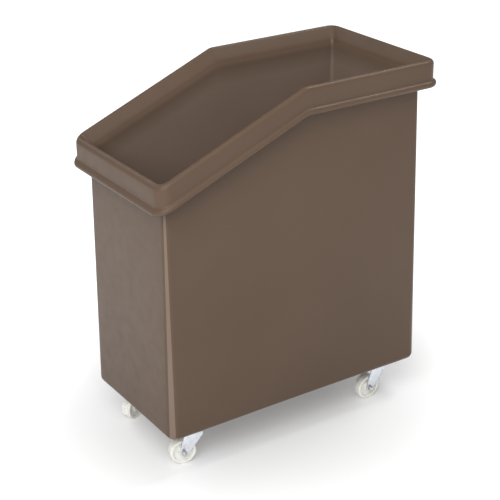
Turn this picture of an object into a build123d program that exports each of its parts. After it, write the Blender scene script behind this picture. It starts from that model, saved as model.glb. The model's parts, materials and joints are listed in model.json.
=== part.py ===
"""Mobile ingredients bin: a one-piece moulded bin with a sloping front on four plate castors.

Units are millimetres. +Z is up, the low front end faces -Y and the high back end faces +Y.
The origin is on the floor, midway between the sides and midway between the ends.
"""

from build123d import *
from math import asin, atan2, cos, degrees, hypot, pi, radians, sin, sqrt, tan
import os

# ---- bin: outline, heights and walls ------------------------------------------------
wall = 4.0  # thickness of the moulded skin
base_width = 287.0  # outside, across X at the foot
base_length = 566.0  # outside, along Y at the foot
wall_corner_radius = 18.5  # vertical corners, seen from above
wall_lean = 0.95  # degrees that each wall leans inwards on its way up
foot_radius = 14.0  # outer rounding all round the foot
front_crest = 502.5  # height of the rim above the base, at the front
back_crest = 620.0  # height of the rim above the base, over the back half
crest_break = 1.0  # where the slope meets the level back half, along Y
break_radius = 30.0  # rounding of the crest at the break

# ---- rim: a rolled lip with a hanging skirt and a bead -------------------------------
rim_overhang_sides = 16.5  # from the foot's outline out to the skirt
rim_overhang_ends = 12.0
skirt_corner_radius = 23.0
skirt_drop = 50.0  # from the crest to the free edge
lip_radius = 8.0  # outer rounding of the crest
mouth_bevel = 17.5  # across and down, the sloping face that leads from the crest into the bin
least_crest_flat = 1.0  # flat left between the lip's rounding and the bevel
bead_proud = 6.0  # how far the bead stands out from the skirt
bead_height = 12.0
bead_edge_share = 0.7  # of the largest edge rounding that the bead has room for

# ---- castors: place, height and the directions that they have swung to ---------------
wheel_headroom = 26.0  # from the top of a wheel to the underside of the bin
washer_room_sides = 1.0  # flat floor between a washer and the foot's inner rounding
washer_room_ends = 24.0
castor_swings = {  # direction in which each wheel trails, degrees from +X
    "front_right": -104.0,
    "front_left": -66.0,
    "back_right": -88.0,
    "back_left": -100.0,
}
trail = 24.0  # swivel axis to wheel axle, seen from above

bolt_spacing_x = 34.0
bolt_spacing_y = 48.0
plate_margin_x = 8.0  # from the bolts' axes to the plate's edges
plate_margin_y = 7.0
plate_thickness = 2.5
plate_corner_radius = 7.0

wheel_diameter = 50.0
wheel_width = 19.0
tread_rounding = 2.5
hub_radius = 9.5
hub_proud = 1.0  # the hub stands out from the tyre's faces on both sides
rim_band = 5.5  # width of the solid band under the tread
recess_depth = 3.0  # hollow between the hub and the rim band

fork_sheet = 2.0
fork_gap_to_hub = 0.5  # on each side of the hub
fork_crown_radius = 17.0
fork_foot_radius = 8.5
fork_front_reach = 13.0  # how far the blade's top reaches ahead of the swivel axis
fork_back_reach = 20.0  # and behind it
fork_bend_radius = 4.0  # outer radius where the crown turns down into a blade

ball_diameter = 5.0
ball_circle_radius = 12.5
lower_ball_diameter = 3.0
lower_ball_circle_radius = 7.5
ball_pitch = 1.1  # least distance between neighbouring balls' centres, in diameters
ball_clearance = 0.04  # between a ball and each surface that it rolls on
race_wall = 1.6
race_lip_overlap = 1.2  # how far the plate's lip hangs past the crown's top face
race_gap = 0.7  # sideways, between the lip and the crown

kingpin_radius = 4.0
kingpin_head_radius = 7.0
kingpin_tail_radius = 6.5
kingpin_tail = 2.2
swivel_clearance = 0.08  # radial, fork on kingpin

axle_radius = 3.0
axle_hole_clearance = 0.2
sleeve_wall = 1.5
sleeve_clearance = 0.05  # radial, sleeve on axle bolt
wheel_clearance = 0.08  # radial, wheel on sleeve
axle_head_across = 10.0
axle_head_height = 4.0
axle_nut_height = 6.0
axle_nut_collar = 1.5  # the round part of the nut above its hexagon
axle_nut_rounding = 0.8
axle_end_past_nut = 0.8
axle_end_chamfer = 0.5
hexagon_shoulder = 0.4  # from a nut's flats in to its round part

# ---- fixings that hold each castor plate to the bin ----------------------------------
bolt_radius = 3.0
bolt_hole_clearance = 0.3
bolt_head_across = 10.0
bolt_head_height = 4.0
washer_radius = 8.0
washer_thickness = 1.6
nut_across = 10.0
nut_height = 5.0
nut_dome = 4.0
bolt_end_in_dome = 1.5  # how far the bolt reaches past the nut's hexagon

# ---- sizes that follow ---------------------------------------------------------------
skirt_width = base_width + 2 * rim_overhang_sides
skirt_length = base_length + 2 * rim_overhang_ends
crest_slope = degrees(
    atan2(back_crest - front_crest, crest_break + skirt_length / 2 - lip_radius)
)
bead_edge_radius = bead_edge_share * min(bead_height / 2, bead_proud)
plate_width = bolt_spacing_x + 2 * plate_margin_x
plate_length = bolt_spacing_y + 2 * plate_margin_y
castor_height = wheel_diameter + wheel_headroom
washer_reach = foot_radius + washer_radius
castor_x = base_width / 2 - washer_reach - washer_room_sides - bolt_spacing_x / 2
castor_y = base_length / 2 - washer_reach - washer_room_ends - bolt_spacing_y / 2
base_z = castor_height
floor_z = base_z + wall
axle_z = wheel_diameter / 2
bolt_hole_radius = bolt_radius + bolt_hole_clearance
sleeve_bore = axle_radius + sleeve_clearance
sleeve_radius = sleeve_bore + sleeve_wall
hub_width = wheel_width + 2 * hub_proud
fork_inside = hub_width + 2 * fork_gap_to_hub
fork_outside = fork_inside + 2 * fork_sheet
beyond = 1000.0  # longer than anything here, for cutting tools

# the mouth's bevel leaves a flat beside the lip's rounding, and so does the one under it
lean_at_front = front_crest * tan(radians(wall_lean))
side_flange = rim_overhang_sides + wall + lean_at_front
front_flange = (rim_overhang_ends + wall + lean_at_front) / cos(radians(crest_slope))
front_share = tan(radians(45 - crest_slope / 2))  # radius to length, on the sloping end
side_room = side_flange - lip_radius - least_crest_flat
front_room = front_flange - lip_radius * front_share - least_crest_flat
front_skins = 2 * wall / cos(radians(crest_slope))
channel_room = front_flange - front_skins - (lip_radius - wall) * front_share - least_crest_flat
bevel = min(mouth_bevel, side_room, front_room, channel_room + wall)

# heights below the plate's top face, in the castor's own frame
plate_under = -plate_thickness
ball_z = plate_under - ball_clearance - ball_diameter / 2
crown_top = ball_z - ball_diameter / 2 - ball_clearance
strap_top = crown_top - race_lip_overlap - race_gap
crown_under = strap_top - fork_sheet
lower_ball_z = crown_under - ball_clearance - lower_ball_diameter / 2
cap_top = lower_ball_z - lower_ball_diameter / 2 - ball_clearance
cap_under = cap_top - race_wall
axle_drop = axle_z - castor_height


# ======================================================================================
# bin
# ======================================================================================
def rounded_box(width, length, radius, low, high):
    """Upright block with rounded vertical corners, centred on the Z axis."""
    outline = Plane.XY.offset(low) * RectangleRounded(width, length, radius)
    return extrude(outline, high - low)


def leaning_box(inset, low):
    """Block inside the bin's outer walls by inset, leaning with them, from low upwards."""
    width = base_width - 2 * inset
    length = base_length - 2 * inset
    outline = RectangleRounded(width, length, wall_corner_radius - inset)
    block = Pos(0, 0, base_z) * extrude(outline, beyond, taper=wall_lean)
    floor_cut = Pos(0, 0, low) * Box(
        beyond, beyond, beyond, align=(Align.CENTER, Align.CENTER, Align.MAX)
    )
    return block - floor_cut


def above_crest(drop):
    """Everything above the crest surface lowered by drop: a slope, then a level."""
    level = base_z + back_crest - drop
    far_front = crest_break - beyond
    slope_foot = level - beyond * tan(radians(crest_slope))
    corners = [
        (far_front, slope_foot),
        (crest_break, level),
        (beyond, level),
        (beyond, level + beyond),
        (far_front, level + beyond),
    ]
    outline = make_face(Polyline(*corners, close=True))
    bend = outline.vertices().sort_by_distance((crest_break, level, 0))[0]
    outline = fillet(bend, break_radius)
    return extrude(Plane.YZ * outline, beyond / 2, both=True)


def crest_edges(block):
    """Edges that bound the crest surface of a block, but not those that lie across it."""
    lip_normal = cos(radians(45))  # middle of a quarter rounding beside a level face
    steepest = (cos(radians(crest_slope)) + lip_normal) / 2
    faces = [f for f in block.faces() if f.normal_at(f.center()).Z > steepest]
    counts = {}
    edges = {}
    for face in faces:
        for edge in face.edges():
            key = tuple(round(v, 2) for v in edge.center())
            counts[key] = counts.get(key, 0) + 1
            edges[key] = edge
    return [edges[key] for key in counts if counts[key] == 1]


def foot_edges(block, level):
    """Edges of the flat face that a block stands on."""
    return [e for e in block.edges() if abs(e.bounding_box().max.Z - level) < 0.01]


def rim_block():
    """Solid rim: skirt outline under the rounded crest, with the bead round its free edge."""
    low = base_z + front_crest - 3 * skirt_drop
    skirt = rounded_box(skirt_width, skirt_length, skirt_corner_radius, low, beyond)
    skirt = skirt - above_crest(0)
    skirt = fillet(crest_edges(skirt), lip_radius)

    bead = rounded_box(
        skirt_width + 2 * bead_proud,
        skirt_length + 2 * bead_proud,
        skirt_corner_radius + bead_proud,
        low,
        beyond,
    )
    bead = bead - above_crest(skirt_drop - bead_height)
    bead = bead & above_crest(skirt_drop)
    bead = fillet(bead_edges(bead), bead_edge_radius)
    return (skirt & above_crest(skirt_drop)) + bead


def bead_edges(bead):
    """Upper and lower edge loops of the bead's block."""
    loops = []
    for edge in bead.edges():
        along = edge.tangent_at(0.5)
        across_break = abs(along.X) > 0.99 and abs(edge.center().Y) < skirt_length / 3
        upright = abs(along.Z) > 0.99
        if not across_break and not upright:
            loops.append(edge)
    return loops


def rim_channel():
    """Hollow behind the skirt: open below, shaped above to keep the lip's skin even."""
    low = base_z + front_crest - 4 * skirt_drop
    outside = rounded_box(
        skirt_width - 2 * wall,
        skirt_length - 2 * wall,
        skirt_corner_radius - wall,
        low,
        beyond,
    )
    outside = outside - above_crest(wall)
    outside = fillet(crest_edges(outside), lip_radius - wall)
    ring = outside - leaning_box(0, base_z)
    inner = [e for e in crest_edges(ring) if inside_wall_line(e.center())]
    return chamfer(inner, bevel - wall)


def inside_wall_line(point):
    """True for a point no further out than the bin's wall, with a little to spare."""
    across = abs(point.X) < base_width / 2 + 1
    along = abs(point.Y) < base_length / 2 + 1
    return across and along


def bin_body():
    shell = leaning_box(0, base_z) - above_crest(bevel)
    shell = fillet(foot_edges(shell, base_z), foot_radius)
    shell = shell + rim_block()

    cavity = leaning_box(wall, floor_z)
    cavity = fillet(foot_edges(cavity, floor_z), foot_radius - wall)
    shell = shell - cavity
    mouth = [e for e in crest_edges(shell) if inside_wall_line(e.center())]
    shell = chamfer(mouth, bevel)
    shell = shell - rim_channel()

    hole = Cylinder(bolt_hole_radius, 3 * wall)
    for x, y in plate_holes_on_bin():
        shell = shell - Pos(x, y, base_z) * hole
    return shell


# ======================================================================================
# castors; each is made in its own frame, plate top at the origin, wheel trailing to +X
# ======================================================================================
def hexagon_bar(across, height):
    """Hexagonal block standing on the XY plane."""
    return extrude(RegularPolygon(across / 2, 6, major_radius=False), height)


def plate_hole_places():
    x = bolt_spacing_x / 2
    y = bolt_spacing_y / 2
    return [(x, y), (x, -y), (-x, y), (-x, -y)]


def castor_places():
    """Name and swivel-axis position of each castor."""
    sides = {"right": castor_x, "left": -castor_x}
    ends = {"front": -castor_y, "back": castor_y}
    return {f"{e}_{s}": (sides[s], ends[e]) for e in ends for s in sides}


def plate_holes_on_bin():
    holes = []
    for x, y in castor_places().values():
        holes += [(x + dx, y + dy) for dx, dy in plate_hole_places()]
    return holes


def tube(outer, inner, low, high):
    """Upright tube between two heights."""
    ring = Circle(outer) - Circle(inner)
    return Pos(0, 0, low) * extrude(ring, high - low)


def disc(radius, low, high):
    return Pos(0, 0, low) * extrude(Circle(radius), high - low)


def top_plate():
    """Fixing plate with the upper ball race's lip hanging from it."""
    plate = rounded_box(
        plate_width, plate_length, plate_corner_radius, plate_under, 0
    )
    lip_inside = fork_crown_radius + race_gap
    lip = tube(
        lip_inside + race_wall, lip_inside, crown_top - race_lip_overlap, plate_under
    )
    plate = plate + lip - kingpin_shape()
    hole = Cylinder(bolt_hole_radius, 4 * plate_thickness)
    for x, y in plate_hole_places():
        plate = plate - Pos(x, y, 0) * hole
    return plate


def kingpin_shape():
    """Rivet: countersunk head flush with the plate, shank, and a tail closed under the cap."""
    head = Pos(0, 0, -plate_thickness / 2) * Cone(
        kingpin_radius, kingpin_head_radius, plate_thickness
    )
    shank = disc(kingpin_radius, cap_under, 0)
    tail = disc(kingpin_tail_radius, cap_under - kingpin_tail, cap_under)
    tail = chamfer(tail.edges().sort_by(Axis.Z)[0], kingpin_tail / 2)
    return head + shank + tail


def race_cap():
    """Dished cap, fixed to the kingpin, that carries the lower balls."""
    rim_inside = lower_ball_circle_radius + lower_ball_diameter / 2 + ball_clearance
    dish = disc(rim_inside + race_wall, cap_under, cap_top)
    dish = dish + tube(rim_inside + race_wall, rim_inside, cap_top, lower_ball_z)
    return dish - disc(kingpin_radius, cap_under - 1, cap_top + 1)


def balls(diameter, circle, height):
    """As many loose balls as the circle holds, evenly spread."""
    ball = Sphere(diameter / 2)
    count = int(pi / asin(ball_pitch * diameter / (2 * circle)))
    angles = [2 * pi * i / count for i in range(count)]
    return [Pos(circle * cos(a), circle * sin(a), height) * ball for a in angles]


def fork_blade_outline():
    """Side view of a blade, X back and Y up: wide at the crown, round at the axle."""
    front_top = (-fork_front_reach, strap_top)
    front = (-fork_front_reach, strap_top - 2 * fork_bend_radius)
    back = (fork_back_reach, strap_top)
    blade = make_face(
        Polyline(
            front_top,
            front,
            tangent_foot(front, -1),
            (trail, axle_drop),
            tangent_foot(back, 1),
            back,
            close=True,
        )
    )
    return blade + Pos(trail, axle_drop) * Circle(fork_foot_radius)


def tangent_foot(point, side):
    """Where a straight edge from point touches the round foot of the blade."""
    dx = trail - point[0]
    dy = axle_drop - point[1]
    length = sqrt(hypot(dx, dy) ** 2 - fork_foot_radius**2)
    direction = atan2(dy, dx) + side * atan2(fork_foot_radius, length)
    return (point[0] + length * cos(direction), point[1] + length * sin(direction))


def fork():
    """Pressed fork: a crown under the balls and two blades down to the axle."""
    outline = Plane.XZ * fork_blade_outline()
    solid_block = extrude(outline, fork_outside / 2, both=True)
    solid_block = fillet(edges_along_x(solid_block, strap_top), fork_bend_radius)
    hollow = Pos(0, 0, crown_under) * Box(
        beyond, fork_inside, beyond, align=(Align.CENTER, Align.CENTER, Align.MAX)
    )
    hollow = fillet(edges_along_x(hollow, crown_under), fork_bend_radius - fork_sheet)
    body = solid_block - hollow
    body = body + disc(fork_crown_radius, crown_under, crown_top)
    body = body - disc(kingpin_radius + swivel_clearance, crown_under - 1, crown_top + 1)
    axle_hole = Rot(90, 0, 0) * Cylinder(axle_radius + axle_hole_clearance, beyond)
    return body - Pos(trail, 0, axle_drop) * axle_hole


def edges_along_x(block, level):
    """Straight edges that run along X at one height."""
    at_level = [e for e in block.edges() if abs(e.center().Z - level) < 0.01]
    return [e for e in at_level if abs(e.tangent_at(0.5).X) > 0.99]


def wheel():
    """Solid nylon wheel with dished faces and a plain bore, axle along Y."""
    tread = wheel_diameter / 2
    body = extrude(Circle(tread), wheel_width / 2, both=True)
    body = fillet(body.edges(), tread_rounding)
    recess = tube(tread - rim_band, hub_radius, wheel_width / 2 - recess_depth, wheel_width)
    recess = fillet(recess.edges().group_by(Axis.Z)[0], recess_depth / 3)
    body = body - recess - Rot(180, 0, 0) * recess
    body = body + extrude(Circle(hub_radius), hub_width / 2, both=True)
    body = body - Cylinder(sleeve_radius + wheel_clearance, beyond)
    return Rot(90, 0, 0) * body


def axle_sleeve():
    """Steel tube clamped between the blades, on which the wheel turns."""
    half = fork_inside / 2
    return Rot(90, 0, 0) * tube(sleeve_radius, sleeve_bore, -half, half)


def axle_bolt():
    """Hexagon-headed bolt through both blades and the sleeve, head on the -Y side."""
    half = fork_outside / 2
    end = half + axle_nut_height + axle_end_past_nut
    bolt = disc(axle_radius, -half, end)
    bolt = chamfer(bolt.edges().sort_by(Axis.Z)[-1], axle_end_chamfer)
    head = Pos(0, 0, -half - axle_head_height) * hexagon_bar(
        axle_head_across, axle_head_height
    )
    return Rot(-90, 0, 0) * (head + bolt)


def axle_nut():
    half = fork_outside / 2
    hexagon_height = axle_nut_height - axle_nut_collar
    nut = Pos(0, 0, half) * hexagon_bar(axle_head_across, hexagon_height)
    collar_radius = axle_head_across / 2 - hexagon_shoulder
    collar = disc(collar_radius, half, half + axle_nut_height)
    nut = nut + fillet(collar.edges().sort_by(Axis.Z)[-1], axle_nut_rounding)
    nut = nut - disc(axle_radius, half - 1, half + axle_nut_height + 1)
    return Rot(-90, 0, 0) * nut


# ======================================================================================
# fixings, all four patterns together
# ======================================================================================
def fixing_bolt():
    """Bolt from below: head under the plate, shank up through the base."""
    shank = disc(bolt_radius, plate_under, bolt_end())
    head = Pos(0, 0, plate_under - bolt_head_height) * hexagon_bar(
        bolt_head_across, bolt_head_height
    )
    return head + shank


def bolt_end():
    """Height of a fixing bolt's end above the base, inside the nut's dome."""
    return wall + washer_thickness + nut_height + bolt_end_in_dome


def fixing_washer():
    return tube(washer_radius, bolt_hole_radius, wall, wall + washer_thickness)


def fixing_nut():
    """Domed nut that closes the bolt's end off from what the bin holds."""
    seat = wall + washer_thickness
    hexagon = Pos(0, 0, seat) * hexagon_bar(nut_across, nut_height)
    dome_radius = nut_across / 2 - hexagon_shoulder
    dome = disc(dome_radius, seat, seat + nut_height + nut_dome)
    dome_rounding = 0.95 * min(nut_dome, dome_radius)
    dome = fillet(dome.edges().sort_by(Axis.Z)[-1], dome_rounding)
    return hexagon + dome - disc(bolt_radius, seat - 1, bolt_end())


def at_each_hole(piece):
    return [Pos(x, y, base_z) * piece for x, y in plate_holes_on_bin()]


# ======================================================================================
# everything, written out
# ======================================================================================
def build_nodes():
    """Every named piece, in the bin's frame."""
    nodes = {"bin_body": bin_body()}
    nodes["castor_fixing_bolts"] = at_each_hole(fixing_bolt())
    nodes["castor_fixing_washers"] = at_each_hole(fixing_washer())
    nodes["castor_fixing_nuts"] = at_each_hole(fixing_nut())

    still = {
        "plate": top_plate(),
        "kingpin": kingpin_shape(),
        "race_cap": race_cap(),
    }
    swung = {
        "fork": fork(),
        "upper_balls": balls(ball_diameter, ball_circle_radius, ball_z),
        "lower_balls": balls(lower_ball_diameter, lower_ball_circle_radius, lower_ball_z),
    }
    on_axle = {
        "wheel": wheel(),
        "axle_sleeve": axle_sleeve(),
        "axle_bolt": axle_bolt(),
        "axle_nut": axle_nut(),
    }
    for name, (x, y) in castor_places().items():
        mount = Pos(x, y, base_z)
        swing = mount * Rot(0, 0, castor_swings[name])
        axle = swing * Pos(trail, 0, axle_drop)
        for group, place in ((still, mount), (swung, swing), (on_axle, axle)):
            for piece, shape in group.items():
                nodes[f"castor_{name}_{piece}"] = placed(shape, place)
    return nodes


def placed(shape, place):
    """One piece or a list of like pieces, moved to its place."""
    if isinstance(shape, list):
        return [place * s for s in shape]
    return place * shape


def write_node(name, shape):
    if isinstance(shape, list):
        shape = Compound(children=shape)
    export_step(shape, f"parts/{name}.step")


if __name__ == "__main__":
    os.makedirs("parts", exist_ok=True)
    for node, solid in build_nodes().items():
        write_node(node, solid)
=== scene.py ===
import json
from math import atan2, cos, pi, radians, sin, sqrt, tan

import bmesh
import bpy
import numpy as np
from mathutils import Matrix, Vector


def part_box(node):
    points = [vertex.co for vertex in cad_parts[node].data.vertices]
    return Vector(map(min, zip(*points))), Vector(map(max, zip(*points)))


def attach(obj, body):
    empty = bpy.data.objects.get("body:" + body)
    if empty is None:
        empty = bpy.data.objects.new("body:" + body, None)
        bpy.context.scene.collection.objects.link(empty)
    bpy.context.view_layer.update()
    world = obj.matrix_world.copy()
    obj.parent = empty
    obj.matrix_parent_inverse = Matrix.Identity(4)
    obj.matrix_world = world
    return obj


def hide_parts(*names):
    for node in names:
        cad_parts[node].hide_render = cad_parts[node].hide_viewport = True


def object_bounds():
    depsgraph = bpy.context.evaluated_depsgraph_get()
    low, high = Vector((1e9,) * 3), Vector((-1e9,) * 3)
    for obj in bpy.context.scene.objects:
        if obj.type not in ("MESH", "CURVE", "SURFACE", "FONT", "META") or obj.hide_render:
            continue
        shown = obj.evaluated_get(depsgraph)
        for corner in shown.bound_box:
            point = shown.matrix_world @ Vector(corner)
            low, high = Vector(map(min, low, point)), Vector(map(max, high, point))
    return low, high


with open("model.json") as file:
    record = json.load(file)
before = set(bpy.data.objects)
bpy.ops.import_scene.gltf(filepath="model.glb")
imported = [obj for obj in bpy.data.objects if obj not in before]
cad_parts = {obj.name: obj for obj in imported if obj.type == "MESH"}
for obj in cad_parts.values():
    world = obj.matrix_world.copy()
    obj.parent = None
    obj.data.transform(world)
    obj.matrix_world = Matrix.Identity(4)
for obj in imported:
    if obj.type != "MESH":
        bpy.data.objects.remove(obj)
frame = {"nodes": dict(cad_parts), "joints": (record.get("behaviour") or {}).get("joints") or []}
cad_low, cad_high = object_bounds()


# --------------------------------------------------------------------------------------
# Studio: a dim white room, a large soft box over the camera's left shoulder, a weak one
# overhead and two small ones that catch the rim's edges. The pale floor is lit from below,
# and more so away from the bin. The camera looks down on the front right-hand corner.
# --------------------------------------------------------------------------------------
view_azimuth = radians(57.01)
view_elevation = radians(24.29)
view_roll = radians(-0.832)
view_distance = 2.500
view_height = 0.376
view_shift_right = -0.0131
view_shift_up = -0.0380
lens_mm = 95.05

scene = bpy.context.scene
scene.view_settings.view_transform = "Standard"

back = Vector(
    (
        sin(view_azimuth) * cos(view_elevation),
        -cos(view_azimuth) * cos(view_elevation),
        sin(view_elevation),
    )
)
look = (-back).to_track_quat("-Z", "Y").to_matrix()
right = look @ Vector((1, 0, 0))
up = look @ Vector((0, 1, 0))
turn = Matrix.Rotation(view_roll, 3, back)
camera_data = bpy.data.cameras.new("camera")
camera_data.lens = lens_mm
camera_data.sensor_width = 36.0
camera = bpy.data.objects.new("camera", camera_data)
scene.collection.objects.link(camera)
place = Vector((0, 0, view_height)) + back * view_distance
place += turn @ right * view_shift_right + turn @ up * view_shift_up
camera.matrix_world = Matrix.Translation(place) @ (turn @ look).to_4x4()
scene.camera = camera

world = bpy.data.worlds.new("white_room")
scene.world = world
world.use_nodes = True
room = world.node_tree.nodes["Background"]
room.inputs["Color"].default_value = (1, 1, 1, 1)
room.inputs["Strength"].default_value = 0.30


def soft_box(name, azimuth, elevation, distance, size, watts):
    """Square area light that faces the middle of the bin, placed by degrees and metres."""
    light = bpy.data.lights.new(name, "AREA")
    light.shape = "SQUARE"
    light.size = size
    light.energy = watts
    lamp = bpy.data.objects.new(name, light)
    a, e = radians(azimuth), radians(elevation)
    away = Vector((sin(a) * cos(e), -cos(a) * cos(e), sin(e)))
    lamp.location = Vector((0, 0, (cad_high.z + cad_low.z) / 2)) + away * distance
    lamp.rotation_mode = "QUATERNION"
    lamp.rotation_quaternion = away.to_track_quat("Z", "Y")
    scene.collection.objects.link(lamp)


soft_box("key_box", azimuth=42, elevation=39, distance=3.4, size=2.6, watts=142)
soft_box("back_edge_box", azimuth=172, elevation=58, distance=3.0, size=0.9, watts=34)
soft_box("left_edge_box", azimuth=-68, elevation=34, distance=3.0, size=0.9, watts=7)
soft_box("overhead_box", azimuth=0, elevation=88, distance=3.0, size=3.0, watts=8)

floor_half = 120.0
floor_grey = 0.52
floor_gloss_roughness = 0.45
glow_under_bin = 0.20
glow_far_off = 0.90
glow_starts = 0.10
glow_ends = 0.80

floor_corners = [(-1, -1, 0), (1, -1, 0), (1, 1, 0), (-1, 1, 0)]
floor_mesh = bpy.data.meshes.new("floor")
floor_mesh.from_pydata(
    [(x * floor_half, y * floor_half, z) for x, y, z in floor_corners], [], [(0, 1, 2, 3)]
)
floor = bpy.data.objects.new("floor", floor_mesh)
scene.collection.objects.link(floor)
floor_paint = bpy.data.materials.new("pale_floor")
floor_paint.use_nodes = True
floor_shader = floor_paint.node_tree.nodes["Principled BSDF"]
floor_shader.inputs["Base Color"].default_value = (floor_grey, floor_grey, floor_grey, 1)
floor_shader.inputs["Roughness"].default_value = floor_gloss_roughness
floor_shader.inputs["Emission Color"].default_value = (1, 1, 1, 1)
floor_tree = floor_paint.node_tree
floor_place = floor_tree.nodes.new("ShaderNodeTexCoord")
from_middle = floor_tree.nodes.new("ShaderNodeVectorMath")
from_middle.operation = "LENGTH"
glow = floor_tree.nodes.new("ShaderNodeMapRange")
glow.interpolation_type = "SMOOTHSTEP"
glow.inputs["From Min"].default_value = glow_starts
glow.inputs["From Max"].default_value = glow_ends
glow.inputs["To Min"].default_value = glow_under_bin
glow.inputs["To Max"].default_value = glow_far_off
floor_tree.links.new(floor_place.outputs["Object"], from_middle.inputs[0])
floor_tree.links.new(from_middle.outputs["Value"], glow.inputs["Value"])
floor_tree.links.new(glow.outputs["Result"], floor_shader.inputs["Emission Strength"])
floor_mesh.materials.append(floor_paint)


# --------------------------------------------------------------------------------------
# Bin body: one skin of brown polyethylene, moulded in one piece. Its walls lean inwards
# to a rim that slopes down to the front. The rim rolls over into a hanging skirt, with a
# bead round the free edge, and the inside is painted a lighter brown as painted light.
# --------------------------------------------------------------------------------------
skin = 0.004
foot_half = (0.1435, 0.283)
wall_corner = 0.0185
lean = tan(radians(0.95))
foot_rounding = 0.014
skirt_half = (0.160, 0.295)
skirt_corner = 0.023
skirt_drop = 0.050
lip_rounding = 0.008
ridge_flat = 0.0015
mouth_slope_drop = 0.027
mouth_foot_soft = 0.010
mouth_shares = (0.35, 0.60, 0.90)
bead_proud = 0.006
bead_height = 0.012
bead_fillet = 0.0015
bead_fullness = 0.9
skirt_rings = (0.018, 0.028)
channel_rings = (0.030, 0.010)

body_low, body_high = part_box("bin_body")
base_z = body_low.z
level_z = body_high.z
front_crest_z = base_z + 0.5025
break_y = 0.001
break_rounding = 0.030
slope = (level_z - front_crest_z) / (break_y + skirt_half[1] - lip_rounding)

side_bulge = 0.0012
end_bulge = 0.0008
base_arch = 0.0045
base_flat_inset = 0.026
base_flat_corner = 0.0035
wall_steps = 14
corner_steps = 14
end_steps = 12
side_steps = 24
break_steps = 12
break_reach = 0.035
break_clearance = 0.06


def crest_z(y):
    """Height of the rim's crest: a slope, a short arc and a level."""
    bend = break_rounding * tan(np.arctan(slope) / 2)
    arc_start = break_y - bend * cos(np.arctan(slope))
    arc_end = break_y + bend
    on_arc = level_z - break_rounding + np.sqrt(
        np.maximum(break_rounding**2 - (arc_end - y) ** 2, 0)
    )
    on_slope = level_z - (break_y - y) * slope
    return np.where(y <= arc_start, on_slope, np.where(y >= arc_end, level_z, on_arc))


def ring_pattern():
    """Points once round a rounded rectangle: place on its core, and outward normal.

    The sides have extra points about the break, where the crest turns level.
    """
    along_end = np.linspace(-1, 1, end_steps + 1)[1:-1]
    coarse = np.linspace(-1, 1, side_steps + 1)[1:-1]
    fine = break_y / foot_half[1] + np.linspace(-break_reach, break_reach, break_steps + 1)
    clear = np.abs(coarse - fine.mean()) > break_clearance
    along_side = np.sort(np.concatenate([coarse[clear], fine]))
    cores, normals = [], []
    for sx, sy, start in ((1, 1, 0), (-1, 1, 90), (-1, -1, 180), (1, -1, 270)):
        for step in range(corner_steps + 1):
            a = radians(start + 90 * step / corner_steps)
            cores.append((sx, sy))
            normals.append((cos(a), sin(a)))
        if sx == sy:
            for c in along_end:
                cores.append((-c * sx, sy))
                normals.append((0, sy))
        else:
            for c in along_side:
                cores.append((sx, -c if sy > 0 else c))
                normals.append((sx, 0))
    return np.array(cores, float), np.array(normals, float)


def ring(half, corner):
    """The rounded rectangle of that half size and corner radius."""
    core, normal = ring_pattern()
    inner = np.array([half[0] - corner, half[1] - corner])
    return core * inner + normal * corner


def arc(steps, start, end):
    """Angles in radians from start to end, both in degrees."""
    return [radians(start + (end - start) * i / steps) for i in range(steps + 1)]


def grown(half, by):
    """Half sizes made larger by the same length each way."""
    return (half[0] + by, half[1] + by)


def between_corners(core, normal):
    """Share of a bulge or an arch at each point: none at the corners, all of it midway."""
    share = (1 - core[:, 0] ** 2) * (np.abs(normal[:, 1]) > 0.99)
    return share + (1 - core[:, 1] ** 2) * (np.abs(normal[:, 0]) > 0.99)


def leaned(inset, z):
    """The wall's outline, inset from its outer face, at the height z of each point."""
    core, normal = ring_pattern()
    flat = ring(grown(foot_half, -inset), wall_corner - inset)
    return flat - normal * ((z - base_z) * lean)[:, None]


def wall_edge(inset, drop):
    """Ring on the wall at a drop below the crest."""
    flat = ring(grown(foot_half, -inset), wall_corner - inset)
    for _ in range(4):
        z = crest_z(flat[:, 1]) - drop
        flat = leaned(inset, z)
    return np.column_stack([flat, z])


def wall_rings(inset, low, high_drop, upward):
    """Rings of a bin wall, from a height above the base up to a drop under the crest."""
    made = []
    shares = np.linspace(0, 1, wall_steps + 1)
    core, normal = ring_pattern()
    top = wall_edge(inset, high_drop)[:, 2]
    across = np.where(np.abs(normal[:, 0]) > np.abs(normal[:, 1]), side_bulge, end_bulge)
    for share in shares if upward else shares[::-1]:
        z = base_z + low + (top - base_z - low) * share
        belly = np.sin(pi * np.clip((z - base_z) / (top - base_z), 0, 1))
        bulge = across * belly * between_corners(core, normal)
        made.append(np.column_stack([leaned(inset, z) + normal * bulge[:, None], z]))
    return made


def foot_rings(inset, rounding, up):
    """Rings of the flat base and its rounding, arched up a little between the corners."""
    made = []
    core, normal = ring_pattern()
    arch = base_arch * between_corners(core, normal) ** 2
    flat = ring(grown(foot_half, -base_flat_inset), base_flat_corner)
    made.append(np.column_stack([flat, np.full(len(flat), base_z + up)]))
    for a in arc(7, 0, 90)[:-1]:
        inward = inset + rounding * (1 - sin(a))
        flat = ring(grown(foot_half, -inward), wall_corner - inward)
        z = base_z + up + rounding * (1 - cos(a)) + arch * (1 - sin(a))
        made.append(np.column_stack([flat, z]))
    return made


def rim_ring(half, corner, drop):
    """Ring that follows the crest at a drop below it."""
    flat = ring(half, corner)
    return np.column_stack([flat, crest_z(flat[:, 1]) - drop])


def bend(first, corner, last, steps):
    """Rings that turn smoothly from the first ring to the last, past the corner ring."""
    shares = np.linspace(0, 1, steps + 1)
    return [(1 - t) ** 2 * first + 2 * t * (1 - t) * corner + t**2 * last for t in shares]


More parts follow.
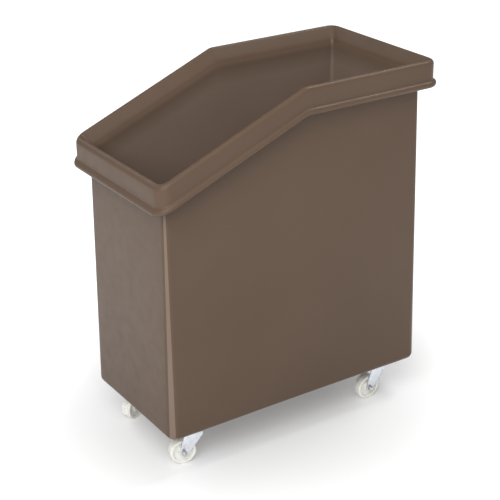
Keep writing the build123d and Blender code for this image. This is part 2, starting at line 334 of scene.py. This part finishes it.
def mouth_rings(inset, ridge, flat_edge):
    """Rings up the mouth's sloping face, from the wall to the ridge, soft at both ends."""
    foot = wall_edge(inset, mouth_slope_drop)
    below = wall_edge(inset, mouth_slope_drop + mouth_foot_soft)
    low, middle, high = [foot + (ridge - foot) * share for share in mouth_shares]
    return bend(below, foot, low, 8)[1:] + [middle] + bend(high, ridge, flat_edge, 5)


def bin_rings():
    """Every ring of the skin in order, from the inside of the floor to the underside."""
    rings = foot_rings(skin, foot_rounding - skin, skin)
    rings += wall_rings(skin, foot_rounding, mouth_slope_drop + mouth_foot_soft, upward=True)
    lip_inset = lip_rounding + ridge_flat
    ridge = rim_ring(grown(skirt_half, -lip_inset), skirt_corner - lip_inset, 0.0)
    edge = rim_ring(grown(skirt_half, -lip_rounding), skirt_corner - lip_rounding, 0.0)
    rings += mouth_rings(skin, ridge, edge)
    for a in arc(7, 90, 0)[1:]:
        out = lip_rounding * cos(a) - lip_rounding
        rings.append(
            rim_ring(grown(skirt_half, out), skirt_corner + out, lip_rounding * (1 - sin(a)))
        )
    bead_top = skirt_drop - bead_height
    for drop in (*skirt_rings, bead_top - bead_fillet):
        rings.append(rim_ring(skirt_half, skirt_corner, drop))
    for out, rise in ((0.0004, 0.0004), (bead_fillet, 0.0)):
        rings.append(rim_ring(grown(skirt_half, out), skirt_corner + out, bead_top - rise))
    bead_middle = skirt_drop - bead_height / 2
    for a in arc(10, 80, -90):
        out = bead_proud * (1 - (1 - max(cos(a), 0)) * bead_fullness)
        drop = bead_middle - bead_height / 2 * sin(a)
        rings.append(rim_ring(grown(skirt_half, out), skirt_corner + out, drop))
    rings.append(rim_ring(skirt_half, skirt_corner, skirt_drop))
    for drop in (skirt_drop, *channel_rings):
        rings.append(rim_ring(grown(skirt_half, -skin), skirt_corner - skin, drop))
    fold = lip_rounding - skin
    for a in arc(4, 0, 90):
        inward = skin + fold * (1 - cos(a))
        drop = skin + fold * (1 - sin(a))
        rings.append(rim_ring(grown(skirt_half, -inward), skirt_corner - inward, drop))
    under_edge = rings.pop()
    under_ridge = rim_ring(grown(skirt_half, -lip_inset), skirt_corner - lip_inset, skin)
    rings += mouth_rings(0.0, under_ridge, under_edge)[::-1]
    rings += wall_rings(0.0, foot_rounding, mouth_slope_drop + mouth_foot_soft, upward=False)
    rings += foot_rings(0.0, foot_rounding, 0.0)[::-1]
    return rings


def loft(name, rings):
    """Closed shell through the rings, with its first and last ring filled in."""
    around = len(rings[0])
    mesh = bmesh.new()
    rows = [[mesh.verts.new(p) for p in r] for r in rings]
    for low, high in zip(rows, rows[1:]):
        for i in range(around):
            j = (i + 1) % around
            mesh.faces.new((low[i], low[j], high[j], high[i]))
    mesh.faces.new(rows[0][::-1])
    mesh.faces.new(rows[-1])
    bmesh.ops.remove_doubles(mesh, verts=mesh.verts, dist=1e-6)
    bmesh.ops.recalc_face_normals(mesh, faces=mesh.faces)
    data = bpy.data.meshes.new(name)
    mesh.to_mesh(data)
    mesh.free()
    data.shade_smooth()
    piece = bpy.data.objects.new(name, data)
    scene.collection.objects.link(piece)
    return piece


bin_skin = loft("bin_skin", bin_rings())


def new_material(name):
    """Material with a Principled shader, and that shader."""
    material = bpy.data.materials.new(name)
    material.use_nodes = True
    return material, material.node_tree.nodes["Principled BSDF"]


def noise(tree, scale, detail=2.0, roughness=0.5, coordinates=None):
    """Noise on the piece's own coordinates."""
    texture = tree.nodes.new("ShaderNodeTexNoise")
    texture.inputs["Scale"].default_value = scale
    texture.inputs["Detail"].default_value = detail
    texture.inputs["Roughness"].default_value = roughness
    if coordinates is None:
        coordinates = tree.nodes.new("ShaderNodeTexCoord").outputs["Object"]
    tree.links.new(coordinates, texture.inputs["Vector"])
    return texture.outputs["Fac"]


def spread(tree, value, low, high, from_low=0.3, from_high=0.7):
    """Value brought from its span, by default a noise texture's usual one, to low and high."""
    node = tree.nodes.new("ShaderNodeMapRange")
    tree.links.new(value, node.inputs["Value"])
    for key, number in (
        ("From Min", from_low),
        ("From Max", from_high),
        ("To Min", low),
        ("To Max", high),
    ):
        node.inputs[key].default_value = number
    return node.outputs["Result"]


def blend_colours(tree, factor, first, second):
    """Mix of two colours, each given as numbers or as a node's output."""
    node = tree.nodes.new("ShaderNodeMix")
    node.data_type = "RGBA"
    tree.links.new(factor, node.inputs["Factor"])
    for socket, colour in ((node.inputs[6], first), (node.inputs[7], second)):
        if isinstance(colour, tuple):
            socket.default_value = (*colour, 1)
        else:
            tree.links.new(colour, socket)
    return node.outputs[2]


def bump(tree, height, depth, strength=1.0, under=None):
    """Surface relief of a depth in metres, laid over another relief if one is given."""
    node = tree.nodes.new("ShaderNodeBump")
    node.inputs["Distance"].default_value = depth
    node.inputs["Strength"].default_value = strength
    tree.links.new(height, node.inputs["Height"])
    if under is not None:
        tree.links.new(under, node.inputs["Normal"])
    return node.outputs["Normal"]


polyethylene, shader = new_material("brown_moulded_polyethylene")
tree = polyethylene.node_tree
brown = (0.080, 0.051, 0.033)
# The next two colours are painted light: the inner walls and floor are painted lighter than the
# outside, and the two depths after them fade this painted light in below the rim.
brown_pale = (0.087, 0.056, 0.037)
inside_painted_light = (0.146, 0.104, 0.080)
inside_painted_light_pale = (0.156, 0.113, 0.088)
painted_light_starts = 0.02
painted_light_full = 0.07


def calculate(tree, operation, *values):
    """One step of arithmetic on numbers or node outputs."""
    node = tree.nodes.new("ShaderNodeMath")
    node.operation = operation
    for socket, value in zip(node.inputs, values):
        if isinstance(value, float):
            socket.default_value = value
        else:
            tree.links.new(value, socket)
    return node.outputs["Value"]


def painted_light_mask(tree):
    """Mask of the inside's painted light: one on the inner walls and floor, fading out towards
    the rim, nought elsewhere.
    """
    place = tree.nodes.new("ShaderNodeSeparateXYZ")
    texture = tree.nodes.new("ShaderNodeTexCoord")
    tree.links.new(texture.outputs["Object"], place.inputs["Vector"])
    mask = calculate(tree, "GREATER_THAN", place.outputs["Z"], base_z + skin / 2)
    for axis, half in zip("XY", foot_half):
        out = calculate(tree, "ABSOLUTE", place.outputs[axis])
        upright = calculate(tree, "MULTIPLY_ADD", place.outputs["Z"], lean, out)
        within = calculate(tree, "LESS_THAN", upright, half - skin / 2 + lean * base_z)
        mask = calculate(tree, "MULTIPLY", mask, within)
    slope_at_middle = level_z - break_y * slope
    on_slope = calculate(tree, "MULTIPLY_ADD", place.outputs["Y"], slope, slope_at_middle)
    crest = calculate(tree, "MINIMUM", on_slope, level_z)
    depth = calculate(tree, "SUBTRACT", crest, place.outputs["Z"])
    fade = spread(tree, depth, 0.0, 1.0, painted_light_starts, painted_light_full)
    return calculate(tree, "MULTIPLY", mask, fade)


patches = spread(tree, noise(tree, 5.0, detail=3.0), 0.0, 1.0)
outer_brown = blend_colours(tree, patches, brown, brown_pale)
# The lighter inner brown is painted light, laid on the inner walls and floor by the mask.
inner_brown_painted_lighter = blend_colours(tree, patches, inside_painted_light, inside_painted_light_pale)
tree.links.new(
    blend_colours(tree, painted_light_mask(tree), outer_brown, inner_brown_painted_lighter),
    shader.inputs["Base Color"],
)
tree.links.new(
    spread(tree, noise(tree, 40.0, detail=4.0), 0.36, 0.46), shader.inputs["Roughness"]
)
grain = bump(tree, noise(tree, 1100.0, detail=1.0), 0.00006, 0.5)
waves = bump(tree, noise(tree, 14.0, detail=1.0), 0.0006, 0.25, under=grain)
tree.links.new(waves, shader.inputs["Normal"])
shader.inputs["IOR"].default_value = 1.5
shader.inputs["Specular IOR Level"].default_value = 0.2
bin_skin.data.materials.append(polyethylene)
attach(bin_skin, "bin")
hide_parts("bin_body")


# --------------------------------------------------------------------------------------
# Castor top plates, kingpins and race caps: bright zinc-plated steel. Each plate is
# pressed with a lip round its ball race; a riveted kingpin and a dished cap hold the fork.
# --------------------------------------------------------------------------------------
castors = ("front_right", "front_left", "back_right", "back_left")
sheet_edge = 0.00035

zinc, shader = new_material("bright_zinc_plated_steel")
tree = zinc.node_tree
cloudy = spread(tree, noise(tree, 90.0, detail=5.0, roughness=0.6), 0.0, 1.0)
tree.links.new(
    blend_colours(tree, cloudy, (0.80, 0.83, 0.88), (0.66, 0.69, 0.75)),
    shader.inputs["Base Color"],
)
tree.links.new(
    spread(tree, noise(tree, 260.0, detail=3.0), 0.24, 0.42), shader.inputs["Roughness"]
)
tree.links.new(bump(tree, noise(tree, 900.0), 0.00003, 0.4), shader.inputs["Normal"])
shader.inputs["Metallic"].default_value = 0.9


def softened(node, edge, name, crease=35):
    """Copy of a CAD node with welded faces and rounded sheet edges."""
    mesh = bmesh.new()
    mesh.from_mesh(frame["nodes"][node].data)
    bmesh.ops.remove_doubles(mesh, verts=mesh.verts, dist=2e-6)
    bmesh.ops.dissolve_limit(
        mesh, angle_limit=radians(0.5), verts=mesh.verts, edges=mesh.edges
    )
    data = bpy.data.meshes.new(name)
    mesh.to_mesh(data)
    mesh.free()
    data.shade_smooth()
    piece = bpy.data.objects.new(name, data)
    scene.collection.objects.link(piece)
    bevel = piece.modifiers.new("edge", "BEVEL")
    bevel.width = edge
    bevel.segments = 2
    bevel.limit_method = "ANGLE"
    bevel.angle_limit = radians(crease)
    bevel.harden_normals = True
    return piece


for castor in castors:
    for part in ("plate", "kingpin", "race_cap"):
        node = f"castor_{castor}_{part}"
        piece = softened(node, sheet_edge, f"{castor}_{part}_finished")
        piece.data.materials.clear()
        piece.data.materials.append(zinc)
        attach(piece, "bin")
        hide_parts(node)


# --------------------------------------------------------------------------------------
# Ball races: two rings of loose hardened balls in each castor, a large ring over the
# fork's crown and a small ring under it. They sit in a film of grease.
# --------------------------------------------------------------------------------------
upper_ball_radius = 0.0025
upper_ring_radius = 0.0125
lower_ball_radius = 0.0015
lower_ring_radius = 0.0075
balls_in_ring = 14

ball_steel, shader = new_material("greased_ball_steel")
tree = ball_steel.node_tree
film = spread(tree, noise(tree, 700.0, detail=3.0), 0.0, 1.0)
tree.links.new(
    blend_colours(tree, film, (0.56, 0.56, 0.55), (0.44, 0.42, 0.38)),
    shader.inputs["Base Color"],
)
tree.links.new(spread(tree, film, 0.10, 0.28, 0.0, 1.0), shader.inputs["Roughness"])
shader.inputs["Metallic"].default_value = 1.0


def new_tree(name, sizes):
    """Empty Geometry Nodes tree with named float inputs."""
    tree = bpy.data.node_groups.new(name, "GeometryNodeTree")
    tree.interface.new_socket("Geometry", in_out="INPUT", socket_type="NodeSocketGeometry")
    for size in sizes:
        kind = "NodeSocketInt" if size == "Count" else "NodeSocketFloat"
        tree.interface.new_socket(size, in_out="INPUT", socket_type=kind)
    tree.interface.new_socket("Geometry", in_out="OUTPUT", socket_type="NodeSocketGeometry")
    return tree, tree.nodes.new("NodeGroupInput"), tree.nodes.new("NodeGroupOutput")


def finish_tree(tree, end, instances, material):
    """Turns the instances into one mesh with its material, and ends the tree."""
    made = tree.nodes.new("GeometryNodeRealizeInstances")
    paint = tree.nodes.new("GeometryNodeSetMaterial")
    paint.inputs["Material"].default_value = material
    tree.links.new(instances, made.inputs["Geometry"])
    tree.links.new(made.outputs["Geometry"], paint.inputs["Geometry"])
    tree.links.new(paint.outputs["Geometry"], end.inputs["Geometry"])


def run_tree(name, tree, start_mesh, sizes):
    """Plain mesh object that the tree makes from the start mesh at these sizes."""
    maker = bpy.data.objects.new(name + "_maker", start_mesh)
    scene.collection.objects.link(maker)
    modifier = maker.modifiers.new("pattern", "NODES")
    modifier.node_group = tree
    for socket in tree.interface.items_tree:
        if socket.in_out == "INPUT" and socket.name in sizes:
            modifier[socket.identifier] = sizes[socket.name]
    evaluated = maker.evaluated_get(bpy.context.evaluated_depsgraph_get())
    mesh = bpy.data.meshes.new_from_object(evaluated)
    bpy.data.objects.remove(maker)
    mesh.name = name
    piece = bpy.data.objects.new(name, mesh)
    scene.collection.objects.link(piece)
    return piece


def ring_tree():
    """Balls of one size spread evenly round an upright axis."""
    tree, start, end = new_tree(
        "ball_ring", ("Count", "Ring Radius", "Ball Radius", "X", "Y", "Z", "Turn")
    )
    circle = tree.nodes.new("GeometryNodeMeshCircle")
    ball = tree.nodes.new("GeometryNodeMeshIcoSphere")
    ball.inputs["Subdivisions"].default_value = 4
    smooth = tree.nodes.new("GeometryNodeSetShadeSmooth")
    spread_out = tree.nodes.new("GeometryNodeInstanceOnPoints")
    place = tree.nodes.new("ShaderNodeCombineXYZ")
    turn = tree.nodes.new("ShaderNodeCombineXYZ")
    put = tree.nodes.new("GeometryNodeTransform")
    tree.links.new(start.outputs["Count"], circle.inputs["Vertices"])
    tree.links.new(start.outputs["Ring Radius"], circle.inputs["Radius"])
    tree.links.new(start.outputs["Ball Radius"], ball.inputs["Radius"])
    tree.links.new(ball.outputs["Mesh"], smooth.inputs["Geometry"])
    tree.links.new(circle.outputs["Mesh"], spread_out.inputs["Points"])
    tree.links.new(smooth.outputs["Geometry"], spread_out.inputs["Instance"])
    for axis in "XYZ":
        tree.links.new(start.outputs[axis], place.inputs[axis])
    tree.links.new(start.outputs["Turn"], turn.inputs["Z"])
    tree.links.new(spread_out.outputs["Instances"], put.inputs["Geometry"])
    tree.links.new(place.outputs["Vector"], put.inputs["Translation"])
    tree.links.new(turn.outputs["Vector"], put.inputs["Rotation"])
    finish_tree(tree, end, put.outputs["Geometry"], ball_steel)
    return tree


joints = {joint["name"]: joint for joint in frame["joints"]}
ring_of_balls = ring_tree()
for castor in castors:
    swivel = joints[f"{castor}_swivel"]["pos_m"]
    axle = joints[f"{castor}_wheel_spin"]["pos_m"]
    swing = atan2(axle[1] - swivel[1], axle[0] - swivel[0])
    for row, ring_radius, ball_radius in (
        ("upper", upper_ring_radius, upper_ball_radius),
        ("lower", lower_ring_radius, lower_ball_radius),
    ):
        node = f"castor_{castor}_{row}_balls"
        low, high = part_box(node)
        sizes = {
            "Count": balls_in_ring,
            "Ring Radius": ring_radius,
            "Ball Radius": ball_radius,
            "X": swivel[0],
            "Y": swivel[1],
            "Z": (low.z + high.z) / 2,
            "Turn": swing,
        }
        empty_mesh = bpy.data.meshes.new("start")
        piece = run_tree(f"{castor}_{row}_ball_ring", ring_of_balls, empty_mesh, sizes)
        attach(piece, f"{castor}_fork")
        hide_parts(node)


# --------------------------------------------------------------------------------------
# Forks: one piece of zinc-plated sheet each, pressed to a crown over the race and two
# blades that narrow down to the axle. Each fork swivels about its kingpin.
# --------------------------------------------------------------------------------------
for castor in castors:
    node = f"castor_{castor}_fork"
    piece = softened(node, sheet_edge, f"{castor}_fork_finished")
    piece.data.materials.clear()
    piece.data.materials.append(zinc)
    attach(piece, f"{castor}_fork")
    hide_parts(node)


# --------------------------------------------------------------------------------------
# Wheels: solid moulded nylon, yellowish white, dished on both faces between the hub and
# the tread. The mould's parting line shows as a fine raised line round the tread.
# --------------------------------------------------------------------------------------
wheel_radius = 0.025
wheel_half = 0.0095
tread_rounding = 0.0025
hub_radius = 0.0095
hub_half = 0.0105
bore_radius = 0.00463
rim_band = 0.0055
recess_depth = 0.003
recess_rounding = 0.001
hub_edge = 0.0005
parting_line_height = 0.00012
parting_line_half = 0.00025
wheel_steps = 96

nylon, shader = new_material("natural_white_nylon")
tree = nylon.node_tree
milky = spread(tree, noise(tree, 60.0, detail=3.0), 0.0, 1.0)
tree.links.new(
    blend_colours(tree, milky, (0.74, 0.735, 0.69), (0.69, 0.68, 0.62)),
    shader.inputs["Base Color"],
)
tree.links.new(
    spread(tree, noise(tree, 300.0, detail=3.0), 0.30, 0.46), shader.inputs["Roughness"]
)
tree.links.new(bump(tree, noise(tree, 1300.0), 0.00003, 0.4), shader.inputs["Normal"])
shader.inputs["Subsurface Weight"].default_value = 0.2
shader.inputs["Subsurface Radius"].default_value = (1.0, 0.85, 0.6)
shader.inputs["Subsurface Scale"].default_value = 0.002


def rounded(corner_x, corner_r, radius, start, end, steps=5):
    """Quarter arc of a section, given its centre along the axle and out from it."""
    return [
        (corner_x + radius * cos(a), corner_r + radius * sin(a))
        for a in arc(steps, start, end)
    ]


def wheel_section():
    """Half of the wheel's section, from its bore out to the middle of the tread."""
    face = wheel_half
    tread_radius = wheel_radius - parting_line_height
    floor_x = wheel_half - recess_depth
    band_inside = wheel_radius - rim_band
    points = [(0.0, bore_radius), (hub_half - hub_edge, bore_radius)]
    points += [(hub_half, bore_radius + hub_edge)]
    points += rounded(hub_half - hub_edge, hub_radius - hub_edge, hub_edge, 0, 90, 3)
    points += rounded(
        floor_x + recess_rounding, hub_radius + recess_rounding, recess_rounding, 270, 180
    )
    points += rounded(
        floor_x + recess_rounding, band_inside - recess_rounding, recess_rounding, 180, 90
    )
    points += rounded(face - hub_edge, band_inside + hub_edge, hub_edge, 270, 360, 3)
    points += rounded(
        face - tread_rounding, tread_radius - tread_rounding, tread_rounding, 0, 90, 8
    )
    points += [(parting_line_half, tread_radius), (0.0, wheel_radius)]
    return points


def wheel_mesh(name, centre, axis):
    """The section and its mirror, spun about the axle."""
    half = wheel_section()
    section = half + [(-x, r) for x, r in half[::-1]]
    along = Vector(axis).normalized()
    outward = Vector((0, 0, 1))
    aside = along.cross(outward)
    mesh = bmesh.new()
    rings = []
    for step in range(wheel_steps):
        a = 2 * pi * step / wheel_steps
        spoke = outward * cos(a) + aside * sin(a)
        rings.append([mesh.verts.new(centre + along * x + spoke * r) for x, r in section])
    for first, second in zip(rings, rings[1:] + rings[:1]):
        for i in range(len(section)):
            j = (i + 1) % len(section)
            mesh.faces.new((first[i], first[j], second[j], second[i]))
    bmesh.ops.remove_doubles(mesh, verts=mesh.verts, dist=1e-6)
    bmesh.ops.recalc_face_normals(mesh, faces=mesh.faces)
    data = bpy.data.meshes.new(name)
    mesh.to_mesh(data)
    mesh.free()
    data.shade_smooth()
    piece = bpy.data.objects.new(name, data)
    scene.collection.objects.link(piece)
    return piece


for castor in castors:
    spin = joints[f"{castor}_wheel_spin"]
    piece = wheel_mesh(f"{castor}_nylon_wheel", Vector(spin["pos_m"]), spin["axis"])
    piece.data.materials.append(nylon)
    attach(piece, f"{castor}_wheel")
    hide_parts(f"castor_{castor}_wheel")


# --------------------------------------------------------------------------------------
# Axles: an M6 bolt and self-locking nut clamp a ground steel sleeve between the blades,
# and the wheel turns on the sleeve. Bolts and nuts are plain turned steel.
# --------------------------------------------------------------------------------------
turned_edge = 0.0003

fastener, shader = new_material("plain_fastener_steel")
tree = fastener.node_tree
dull = spread(tree, noise(tree, 150.0, detail=4.0), 0.0, 1.0)
tree.links.new(
    blend_colours(tree, dull, (0.62, 0.62, 0.61), (0.48, 0.48, 0.47)),
    shader.inputs["Base Color"],
)
tree.links.new(
    spread(tree, noise(tree, 500.0, detail=4.0), 0.22, 0.40), shader.inputs["Roughness"]
)
tree.links.new(bump(tree, noise(tree, 1500.0), 0.00002, 0.4), shader.inputs["Normal"])
shader.inputs["Metallic"].default_value = 1.0

sleeve_steel, shader = new_material("ground_sleeve_steel")
tree = sleeve_steel.node_tree
tree.links.new(
    spread(tree, noise(tree, 800.0, detail=3.0), 0.16, 0.30), shader.inputs["Roughness"]
)
shader.inputs["Base Color"].default_value = (0.55, 0.55, 0.54, 1)
shader.inputs["Metallic"].default_value = 1.0

for castor in castors:
    for part, finish, slot in (
        ("axle_bolt", fastener, "fastener_steel"),
        ("axle_nut", fastener, "fastener_steel"),
        ("axle_sleeve", sleeve_steel, "bearing_steel"),
    ):
        node = f"castor_{castor}_{part}"
        piece = softened(node, turned_edge, f"{castor}_{part}_finished")
        piece.data.materials.clear()
        piece.data.materials.append(finish)
        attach(piece, f"{castor}_fork")
        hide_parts(node)


# --------------------------------------------------------------------------------------
# Fixings: four M6 bolts for each castor, from under its plate up through the bin's base,
# each with a wide washer and a domed nut inside the bin. All are plain stainless steel.
# --------------------------------------------------------------------------------------
bolt_spacing = (0.034, 0.048)
bolt_shank_radius = 0.003
bolt_hole_radius = 0.0033
bolt_head_across = 0.010
bolt_head_height = 0.004
washer_radius = 0.008
washer_edge = 0.0003
nut_across = 0.010
nut_height = 0.005
dome_radius = 0.0046
dome_rounding = 0.0038
bolt_end_chamfer = 0.0008
sunk = 0.0005
hexagon_chamfer = 0.0006
hexagon_steps = 36
crease_angle = 30


def lathe(mesh, section, steps):
    """Spins a section of (radius, height) about the Z axis; ends on the axis are closed."""
    rings = []
    for radius, height in section:
        if radius < 1e-7:
            rings.append([mesh.verts.new((0, 0, height))] * steps)
        else:
            rings.append(
                [
                    mesh.verts.new((radius * cos(a), radius * sin(a), height))
                    for a in (2 * pi * i / steps for i in range(steps))
                ]
            )
    for low, high in zip(rings, rings[1:]):
        for i in range(steps):
            j = (i + 1) % steps
            corners = list(dict.fromkeys((low[i], low[j], high[j], high[i])))
            mesh.faces.new(corners)


def hexagon(mesh, across, low, high, chamfer_low, chamfer_high):
    """Hexagonal block whose corners are turned down at the ends that are chamfered."""
    corner = across / sqrt(3)
    levels = [(corner, low), (corner, high)]
    if chamfer_low:
        levels[0:1] = [(across / 2, low), (corner, low + chamfer_low)]
    if chamfer_high:
        levels[-1:] = [(corner, high - chamfer_high), (across / 2, high)]
    rings = []
    for radius, height in levels:
        ring_points = []
        for i in range(hexagon_steps):
            a = 2 * pi * i / hexagon_steps
            flat = across / 2 / cos((a + pi / 6) % (pi / 3) - pi / 6)
            r = min(flat, radius) if radius < corner else flat
            ring_points.append(mesh.verts.new((r * cos(a), r * sin(a), height)))
        rings.append(ring_points)
    for below, above in zip(rings, rings[1:]):
        for i in range(hexagon_steps):
            j = (i + 1) % hexagon_steps
            mesh.faces.new((below[i], below[j], above[j], above[i]))
    mesh.faces.new(rings[0][::-1])
    mesh.faces.new(rings[-1])


def plain_mesh(name, build):
    """Mesh made by a function of a bmesh, welded, facing outwards and smooth by angle."""
    mesh = bmesh.new()
    build(mesh)
    bmesh.ops.remove_doubles(mesh, verts=mesh.verts, dist=1e-6)
    bmesh.ops.recalc_face_normals(mesh, faces=mesh.faces)
    for edge in mesh.edges:
        edge.smooth = edge.is_manifold and edge.calc_face_angle() < radians(crease_angle)
    data = bpy.data.meshes.new(name)
    mesh.to_mesh(data)
    mesh.free()
    data.shade_smooth()
    return data


bolt_low, bolt_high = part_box("castor_fixing_bolts")
washer_low, washer_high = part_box("castor_fixing_washers")
nut_low, nut_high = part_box("castor_fixing_nuts")


def fixing_bolt(mesh):
    head_top = bolt_low.z + bolt_head_height
    hexagon(mesh, bolt_head_across, bolt_low.z, head_top, hexagon_chamfer, 0)
    r = bolt_shank_radius
    start = head_top - sunk
    end = bolt_high.z
    section = [(0, start), (r, start), (r, end - bolt_end_chamfer)]
    section += [(r - bolt_end_chamfer, end), (0, end)]
    lathe(mesh, section, 24)


def fixing_washer(mesh):
    outer, inner, e = washer_radius, bolt_hole_radius, washer_edge
    low, high = washer_low.z, washer_high.z
    section = [(inner, low), (outer - e, low), (outer, low + e), (outer, high - e)]
    section += [(outer - e, high), (inner, high), (inner, low)]
    lathe(mesh, section, 48)


def domed_nut(mesh):
    seat = nut_low.z
    hexagon(mesh, nut_across, seat, seat + nut_height, 0, hexagon_chamfer)
    top = nut_high.z
    centre = (dome_radius - dome_rounding, top - dome_rounding)
    curve = [
        (centre[0] + dome_rounding * cos(a), centre[1] + dome_rounding * sin(a))
        for a in arc(8, 0, 90)
    ]
    start = seat + nut_height - sunk
    lathe(mesh, [(0, start), (dome_radius, start)] + curve + [(0, top)], 36)


def pattern_tree():
    """Copies one fixing to four holes at each of four castors."""
    tree, start, end = new_tree(
        "fixing_pattern", ("Castor X", "Castor Y", "Spacing X", "Spacing Y")
    )
    double = []
    for key in ("Castor X", "Castor Y"):
        node = tree.nodes.new("ShaderNodeMath")
        node.operation = "MULTIPLY"
        node.inputs[1].default_value = 2.0
        tree.links.new(start.outputs[key], node.inputs[0])
        double.append(node.outputs["Value"])
    grids = []
    for across, along in (double, (start.outputs["Spacing X"], start.outputs["Spacing Y"])):
        grid = tree.nodes.new("GeometryNodeMeshGrid")
        grid.inputs["Vertices X"].default_value = 2
        grid.inputs["Vertices Y"].default_value = 2
        tree.links.new(across, grid.inputs["Size X"])
        tree.links.new(along, grid.inputs["Size Y"])
        grids.append(grid.outputs["Mesh"])
    holes = tree.nodes.new("GeometryNodeInstanceOnPoints")
    tree.links.new(grids[0], holes.inputs["Points"])
    tree.links.new(grids[1], holes.inputs["Instance"])
    loose = tree.nodes.new("GeometryNodeRealizeInstances")
    tree.links.new(holes.outputs["Instances"], loose.inputs["Geometry"])
    copies = tree.nodes.new("GeometryNodeInstanceOnPoints")
    tree.links.new(loose.outputs["Geometry"], copies.inputs["Points"])
    tree.links.new(start.outputs["Geometry"], copies.inputs["Instance"])
    finish_tree(tree, end, copies.outputs["Instances"], fastener)
    return tree


four_holes = pattern_tree()
castor_spot = joints["back_right_swivel"]["pos_m"]
for name, build in (
    ("bolts", fixing_bolt),
    ("washers", fixing_washer),
    ("nuts", domed_nut),
):
    sizes = {
        "Castor X": castor_spot[0],
        "Castor Y": castor_spot[1],
        "Spacing X": bolt_spacing[0],
        "Spacing Y": bolt_spacing[1],
    }
    piece = run_tree(f"fixing_{name}", four_holes, plain_mesh(f"one_{name}", build), sizes)
    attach(piece, "bin")
    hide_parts(f"castor_fixing_{name}")
